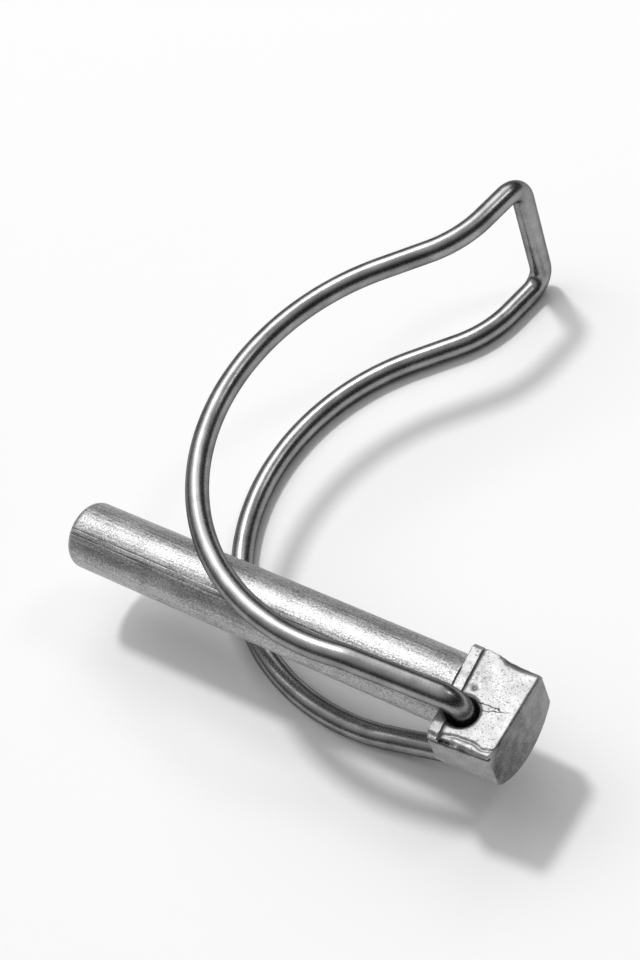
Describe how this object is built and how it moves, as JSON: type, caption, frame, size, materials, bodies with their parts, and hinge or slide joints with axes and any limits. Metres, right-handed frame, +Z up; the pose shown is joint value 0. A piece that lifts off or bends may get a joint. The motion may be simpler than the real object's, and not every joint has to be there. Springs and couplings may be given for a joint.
{
  "type": "wire lock pin",
  "caption": "Wire lock pin: round steel pin with a pressed flat head and a bent spring-wire bail that swings on a cross-hole in the head and loops over the pin's tip.",
  "frame": {"origin": "on the floor under the middle of the part's bounding box, lying flat on the bail's lower leg", "axes": "+Z up and along the bail's hinge, -X along the pin from head to tip, +Y towards the loop of the bail"},
  "size_m": [0.0706, 0.081, 0.0237],
  "materials": {
    "zinc_plated_steel": "zinc-plated, grainy satin",
    "spring_steel_wire": "drawn, smooth and shiny"
  },
  "bodies": {
    "pin": {"pin": "zinc_plated_steel"},
    "bail": {"wire_bail": "spring_steel_wire"}
  },
  "joints": [
    {"name": "bail_swing", "type": "hinge", "parent": "pin", "child": "bail", "pos_m": [0.02895, -0.03558, 0.01186], "axis": [0, 0, 1], "range_deg": [-110, 64]}
  ]
}
